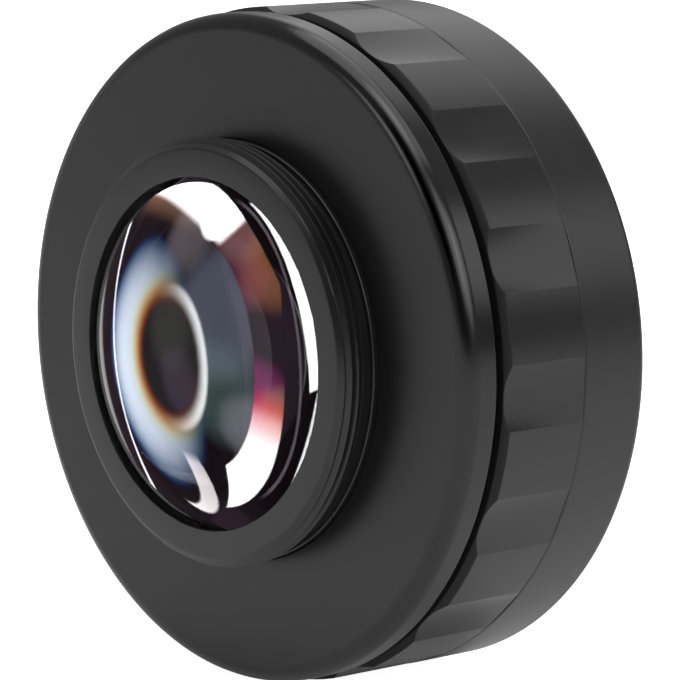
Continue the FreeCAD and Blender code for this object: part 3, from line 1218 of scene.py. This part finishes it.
@dataclass(frozen=True)
class Glow:
    """A soft patch of the studio's surroundings, brighter or darker than the rest, seen from the lens.

    Azimuth is from +X towards +Y and elevation is up, in degrees. The patch is even as far as inner
    degrees from its middle and gone at outer degrees. Two more patches may cut it: it keeps what lies
    within the first and loses what lies in the hole, which makes strips, rings and crescents.
    """

    azimuth: float
    elevation: float
    inner: float
    outer: float
    strength: float
    colour: Colour = WHITE
    within: "Glow | None" = None
    hole: "Glow | None" = None

    def direction(self) -> tuple[float, float, float]:
        """Works out the way to the patch's middle.

        Returns:
            The unit vector.
        """
        azimuth, elevation = math.radians(self.azimuth), math.radians(self.elevation)
        flat = math.cos(elevation)
        return (flat * math.cos(azimuth), flat * math.sin(azimuth), math.sin(elevation))

    def shape(self, sheet: NodeSheet, ray: bpy.types.NodeSocket) -> bpy.types.NodeSocket:
        """Makes the patch: its strength inside, falling smoothly with the cosine to its middle.

        Args:
            sheet: The world's nodes.
            ray: The direction socket.

        Returns:
            The patch's strength.
        """
        dot = sheet.add("ShaderNodeVectorMath", operation="DOT_PRODUCT")
        sheet.link(ray, dot.inputs[0])
        dot.inputs[1].default_value = self.direction()
        patch = sheet.add("ShaderNodeMapRange", interpolation_type="SMOOTHSTEP")
        patch.inputs["From Min"].default_value = math.cos(math.radians(self.outer))
        patch.inputs["From Max"].default_value = math.cos(math.radians(self.inner))
        patch.inputs["To Max"].default_value = self.strength
        sheet.link(dot.outputs["Value"], patch.inputs["Value"])
        shown = patch.outputs["Result"]
        for cut, keep_inside in ((self.within, True), (self.hole, False)):
            if cut is None:
                continue
            mask = cut.shape(sheet, ray)
            if not keep_inside:
                rest = sheet.add("ShaderNodeMath", operation="SUBTRACT")
                rest.inputs[0].default_value = 1.0
                sheet.link(mask, rest.inputs[1])
                mask = rest.outputs[0]
            both = sheet.add("ShaderNodeMath", operation="MULTIPLY")
            sheet.link(shown, both.inputs[0])
            sheet.link(mask, both.inputs[1])
            shown = both.outputs[0]
        return shown

    def add_to(
        self, sheet: NodeSheet, ray: bpy.types.NodeSocket, total: bpy.types.NodeSocket
    ) -> bpy.types.NodeSocket:
        """Adds the patch to the studio's light.

        Args:
            sheet: The world's nodes.
            ray: The direction socket.
            total: The light so far.

        Returns:
            The light with the patch.
        """
        added = sheet.add("ShaderNodeVectorMath", operation="MULTIPLY_ADD")
        sheet.link(self.shape(sheet, ray), added.inputs[0])
        added.inputs[1].default_value = self.colour
        sheet.link(total, added.inputs[2])
        return added.outputs[0]


def mask(azimuth: float, elevation: float, inner: float, outer: float) -> Glow:
    """A patch of strength 1, to cut another with."""
    return Glow(azimuth, elevation, inner, outer, 1.0)


# How strong glass spreads the three colours of an edge: each one's strength, and its size inside and outside.
COLOUR_SPREAD: tuple[tuple[Colour, float, float], ...] = (
    ((0.9, 0.0, 0.0), 0.9, 0.98),
    ((0.0, 1.0, 0.0), 1.0, 1.0),
    ((0.0, 0.0, 1.15), 1.09, 1.03),
)


def halo(
    place: tuple[float, float], hole: tuple[float, float], radii: Sequence[float], strength: float
) -> list[Glow]:
    """A bright ring round a dark middle, with the colour fringes that strong glass gives its edges.

    Each colour has its own size, so red reaches further in and blue further out.

    Args:
        place: Azimuth and elevation of the bright patch.
        hole: Azimuth and elevation of its dark middle.
        radii: The hole's start and end, and the patch's start and end, for green, in degrees.
        strength: How bright it is.

    Returns:
        The patches.
    """
    glows = []
    for colour, inside, outside in COLOUR_SPREAD:
        middle = mask(*hole, radii[0] * inside, radii[1] * inside)
        glows.append(Glow(*place, radii[2] * outside, radii[3] * outside, strength, colour, hole=middle))
    return glows


def lens_reflections() -> list[Glow]:
    """Lists the lamps, panels and coloured edges that the polished glass mirrors.

    Returns:
        The patches, seen from the lens.
    """
    inner_edge = mask(-127.0, -6.0, 34.6, 35.4)
    outer_edge = Glow(-130.7, -21.1, 63.0, 63.8, 1.0, within=mask(-132.2, -0.5, 51.8, 52.6))
    band = replace(outer_edge, hole=inner_edge)
    lower_band = Glow(-127.7, -4.5, 48.0, 48.8, 1.0, hole=inner_edge)
    lower_start = mask(-148.0, -20.0, 29.4, 30.2)
    ring_middle = mask(-135.0, -7.5, 16.0, 20.0)
    ring_right = mask(-112.0, -7.0, 14.0, 36.0)
    fine_line = mask(-80.0, 0.0, 55.0, 65.0)
    upper_rim = mask(-84.0, 21.0, 39.5, 40.5)
    lower_rim = mask(-82.0, -38.0, 26.0, 32.0)
    below = mask(-154.0, -50.0, 15.0, 20.0)
    far_line = mask(-174.0, -8.0, 24.0, 30.0)
    return [
        # the bright ring, broad on the left and a fine line on the right
        *halo((-148.0, -10.0), (-135.5, -7.5), (15.0, 23.5, 14.0, 31.0), 7.5),
        Glow(-134.5, -7.5, 19.5, 21.5, 16.0, WHITE, ring_right, mask(-135.0, -7.5, 15.5, 20.0)),
        # the lamp overhead, with its soft lower edge
        Glow(-165.0, 40.0, 35.0, 38.0, 20.0, WHITE, outer_edge, mask(-133.0, -47.0, 76.5, 79.0)),
        Glow(-170.0, 36.0, 16.0, 30.0, 1.6, (1.0, 0.5, 0.3), outer_edge, mask(-133.0, -47.0, 72.0, 77.5)),
        Glow(-131.0, 38.5, 8.3, 10.2, 24.0, WHITE, outer_edge),
        Glow(-140.0, 27.0, 4.0, 15.0, 1.5, (1.0, 0.85, 0.92)),
        # blue green inside the inner edge
        Glow(-108.0, 10.0, 14.0, 28.0, 1.6, (0.8, 0.95, 1.3), inner_edge, ring_middle),
        Glow(-108.0, -18.0, 6.0, 22.0, 1.0, (0.6, 1.15, 1.05), inner_edge, ring_middle),
        Glow(-100.0, -30.0, 4.0, 15.0, 2.0, (1.0, 0.9, 1.1), inner_edge),
        # faint colours inside the ring
        Glow(-134.0, 0.0, 4.0, 14.0, 0.35, (0.9, 1.0, 0.85)),
        Glow(-130.0, -14.0, 4.0, 12.0, 0.5, (0.9, 0.6, 1.1)),
        # the coloured band between the inner and the outer edge
        Glow(-112.0, 38.0, 3.0, 15.0, 3.2, (1.0, 0.45, 0.45), band),
        Glow(-86.0, 32.0, 8.0, 22.0, 3.5, (1.0, 0.38, 0.12), band),
        Glow(-100.0, 21.0, 3.0, 13.0, 1.6, (0.85, 0.1, 0.35), band),
        Glow(-93.0, -18.0, 5.0, 17.0, 3.4, (1.0, 0.08, 0.55), lower_band),
        Glow(-82.0, -24.0, 2.0, 12.0, 3.0, (1.0, 0.7, 0.1), lower_band),
        # the white panel low on the right, fading through pink
        Glow(-122.0, -58.0, 22.0, 52.0, 27.0, (1.0, 0.0, 0.0), lower_band, lower_start),
        Glow(-122.0, -58.0, 21.0, 45.0, 27.0, (0.0, 1.0, 0.0), lower_band, lower_start),
        Glow(-122.0, -58.0, 21.0, 45.0, 27.0, (0.0, 0.0, 1.0), lower_band, lower_start),
        # the fine line and the bright crescents along the rim
        Glow(-122.0, -5.0, 49.6, 50.0, 2.5, (0.9, 0.75, 0.9), fine_line, mask(-122.0, -5.0, 48.6, 49.0)),
        Glow(-122.0, -7.0, 62.0, 63.0, 28.0, WHITE, upper_rim, mask(-122.5, -7.0, 52.6, 53.2)),
        Glow(-129.3, 6.3, 68.0, 69.0, 20.0, WHITE, lower_rim, mask(-129.3, 6.3, 66.2, 66.7)),
        # the small crescent below
        Glow(-154.0, -33.5, 13.6, 14.6, 10.0, (1.0, 0.92, 0.92), below, mask(-159.0, -30.0, 12.2, 13.2)),
        # the fine line and the pale edge on the far side
        Glow(166.4, -8.6, 18.7, 19.3, 5.5, (0.95, 0.95, 1.0), far_line, mask(166.4, -8.6, 17.0, 17.6)),
        Glow(150.0, -10.0, 17.0, 21.0, 1.0),
        # the tall softbox beside the lens
        Glow(90.0, 55.0, 12.0, 16.0, 9.0),
    ]


def wall_patches() -> list[Glow]:
    """Lists the brighter and darker parts of the studio that the satin metal and the floor gather.

    Returns:
        The patches, seen from the lens.
    """
    return [
        Glow(49.0, 23.0, 6.0, 16.0, 1.2),
        Glow(118.0, 36.0, 14.0, 30.0, 0.75),
        Glow(5.0, 27.0, 10.0, 22.0, 2.2),
        Glow(-168.0, -20.0, 10.0, 36.0, 0.5),
        Glow(-112.0, 17.0, 2.0, 12.0, 2.4),
        Glow(-95.0, 20.0, 14.0, 42.0, -0.17),
        Glow(-78.0, 32.0, 8.0, 24.0, -0.35),
        Glow(-20.0, 33.0, 8.0, 24.0, 2.2),
        Glow(-45.0, 74.0, 4.0, 16.0, 2.2),
        Glow(-45.0, 5.0, 15.0, 35.0, -0.36),
        Glow(45.0, 2.0, 4.0, 11.0, -0.1),
    ]


def light_through() -> list[Glow]:
    """Lists what is seen through the glass, before and behind the lens.

    Returns:
        The patches, seen from the lens.
    """
    return [Glow(90.0, 0.0, 40.0, 60.0, 0.45), Glow(-90.0, 0.0, 25.0, 45.0, 0.3)]


def studio_lamps() -> list[Softbox]:
    """Lists the lamps.

    Returns:
        One large softbox overhead.
    """
    return [Softbox("overhead_softbox", (0.0, 0.0, 0.6), (0.0, 0.01, 0.0), 0.7, 0.7, 1.6)]


@dataclass
class Studio:
    """Camera, floor, pale surroundings and lamps."""

    camera_place: tuple[float, float, float] = (0.27137, -0.22754, 0.05254)
    look: tuple[float, float, float] = (-0.7385, 0.6587, -0.1438)
    focal_length: float = 220.79
    sensor_width: float = 36.0
    nearest: float = 0.01
    floor_level: float = -0.02937
    floor_reach: float = 3.0
    floor_colour: Colour = (0.9, 0.9, 0.9)
    floor_roughness: float = 0.8
    floor_specular: float = 0.1
    floor_lift: float = 0.85
    floor_glow: float = 0.1
    wall_brightness: float = 0.31
    mirrored_base: Colour = (0.09, 0.05, 0.075)
    through_base: Colour = (0.02, 0.012, 0.02)
    softboxes: list[Softbox] = field(default_factory=studio_lamps)
    glows: list[Glow] = field(default_factory=wall_patches)
    mirrored: list[Glow] = field(default_factory=lens_reflections)
    through: list[Glow] = field(default_factory=light_through)

    def build_camera(self) -> None:
        """Places the camera where the photograph was taken from, level, with no shift."""
        data = bpy.data.cameras.new("camera")
        data.sensor_fit = "HORIZONTAL"
        data.sensor_width = self.sensor_width
        data.lens = self.focal_length
        data.clip_start = self.nearest
        camera = bpy.data.objects.new("camera", data)
        turn = Vector(self.look).to_track_quat("-Z", "Y").to_matrix().to_4x4()
        camera.matrix_world = Matrix.Translation(Vector(self.camera_place)) @ turn
        bpy.context.scene.collection.objects.link(camera)
        bpy.context.scene.camera = camera

    def build_floor(self) -> None:
        """Builds the pale floor. To the camera it is lifted towards white, and it keeps the shadow.

        Polished glass sees past it, to the patches of the surroundings that are meant for it.
        """
        mesh = bpy.data.meshes.new("floor")
        reach = self.floor_reach
        corners = [(-reach, -reach), (reach, -reach), (reach, reach), (-reach, reach)]
        mesh.from_pydata([(x, y, self.floor_level) for x, y in corners], [], [(0, 1, 2, 3)])
        material, sheet = blank_material("pale_floor")
        shader = sheet.add("ShaderNodeBsdfPrincipled")
        shader.inputs["Base Color"].default_value = (*self.floor_colour, 1.0)
        shader.inputs["Roughness"].default_value = self.floor_roughness
        shader.inputs["Emission Color"].default_value = (*WHITE, 1.0)
        shader.inputs["Emission Strength"].default_value = self.floor_glow
        shader.inputs["Specular IOR Level"].default_value = self.floor_specular
        path = sheet.add("ShaderNodeLightPath")
        lift = sheet.add("ShaderNodeEmission")
        lift.inputs["Strength"].default_value = self.floor_lift
        none = sheet.add("ShaderNodeEmission")
        none.inputs["Strength"].default_value = 0.0
        mix = sheet.add("ShaderNodeMixShader")
        sheet.link(path.outputs["Is Camera Ray"], mix.inputs[0])
        sheet.link(none.outputs[0], mix.inputs[1])
        sheet.link(lift.outputs[0], mix.inputs[2])
        both = sheet.add("ShaderNodeAddShader")
        sheet.link(shader.outputs["BSDF"], both.inputs[0])
        sheet.link(mix.outputs[0], both.inputs[1])
        past = sheet.add("ShaderNodeMixShader")
        sheet.link(path.outputs["Is Singular Ray"], past.inputs[0])
        sheet.link(both.outputs[0], past.inputs[1])
        sheet.link(sheet.add("ShaderNodeBsdfTransparent").outputs[0], past.inputs[2])
        out = sheet.add("ShaderNodeOutputMaterial")
        sheet.link(past.outputs[0], out.inputs["Surface"])
        mesh.materials.append(material)
        floor = bpy.data.objects.new("floor", mesh)
        bpy.context.scene.collection.objects.link(floor)

    def surroundings(self, sheet: NodeSheet, base: Colour, glows: Sequence[Glow]) -> bpy.types.NodeSocket:
        """Adds up one set of patches over an even base.

        Args:
            sheet: The world's nodes.
            base: The even colour.
            glows: The patches.

        Returns:
            A background shader's socket.
        """
        ray = sheet.add("ShaderNodeTexCoord").outputs["Generated"]
        start = sheet.add("ShaderNodeCombineXYZ")
        for socket, value in zip(start.inputs, base):
            socket.default_value = value
        total = start.outputs[0]
        for glow in glows:
            total = glow.add_to(sheet, ray, total)
        light = sheet.add("ShaderNodeBackground")
        light.inputs["Strength"].default_value = 1.0
        sheet.link(total, light.inputs["Color"])
        return light.outputs[0]

    def build_world(self) -> None:
        """Builds the surroundings: plain white to the camera, studio walls to the metal and the floor.

        Polished glass shows lamps and windows sharply, so its reflections and what leaves it have
        patches of their own, which rough metal doesn't gather.
        """
        world = bpy.data.worlds.new("studio")
        world.use_nodes = True
        bpy.context.scene.world = world
        sheet = NodeSheet(world.node_tree)
        path = sheet.add("ShaderNodeLightPath")
        shown = self.surroundings(sheet, (self.wall_brightness,) * 3, self.glows)
        polished = sheet.add("ShaderNodeMath", operation="MULTIPLY")
        sheet.link(path.outputs["Is Singular Ray"], polished.inputs[0])
        sheet.link(path.outputs["Is Reflection Ray"], polished.inputs[1])
        for factor, light in (
            (polished.outputs[0], self.surroundings(sheet, self.mirrored_base, self.mirrored)),
            (path.outputs["Is Transmission Ray"], self.surroundings(sheet, self.through_base, self.through)),
            (path.outputs["Is Camera Ray"], self.surroundings(sheet, WHITE, ())),
        ):
            mix = sheet.add("ShaderNodeMixShader")
            sheet.link(factor, mix.inputs[0])
            sheet.link(shown, mix.inputs[1])
            sheet.link(light, mix.inputs[2])
            shown = mix.outputs[0]
        out = sheet.add("ShaderNodeOutputWorld")
        sheet.link(shown, out.inputs["Surface"])

    def build(self) -> None:
        """Builds the whole studio."""
        bpy.context.scene.view_settings.view_transform = "Standard"
        self.build_camera()
        self.build_floor()
        self.build_world()
        for softbox in self.softboxes:
            softbox.build()


def main() -> None:
    """Builds the studio and every sub-assembly in order."""
    logging.basicConfig(level=logging.INFO, format="%(message)s")
    Studio().build()
    finishes = make_finishes()
    parts = (RearUnit(), JointSeal(), GripSleeve(), InnerBarrel(), FrontRing(), TrimRing(), FrontGlassGroup())
    for part in parts:
        part.build(finishes)
        LOG.info("%s done", type(part).__name__)


if __name__ == "__main__":
    main()
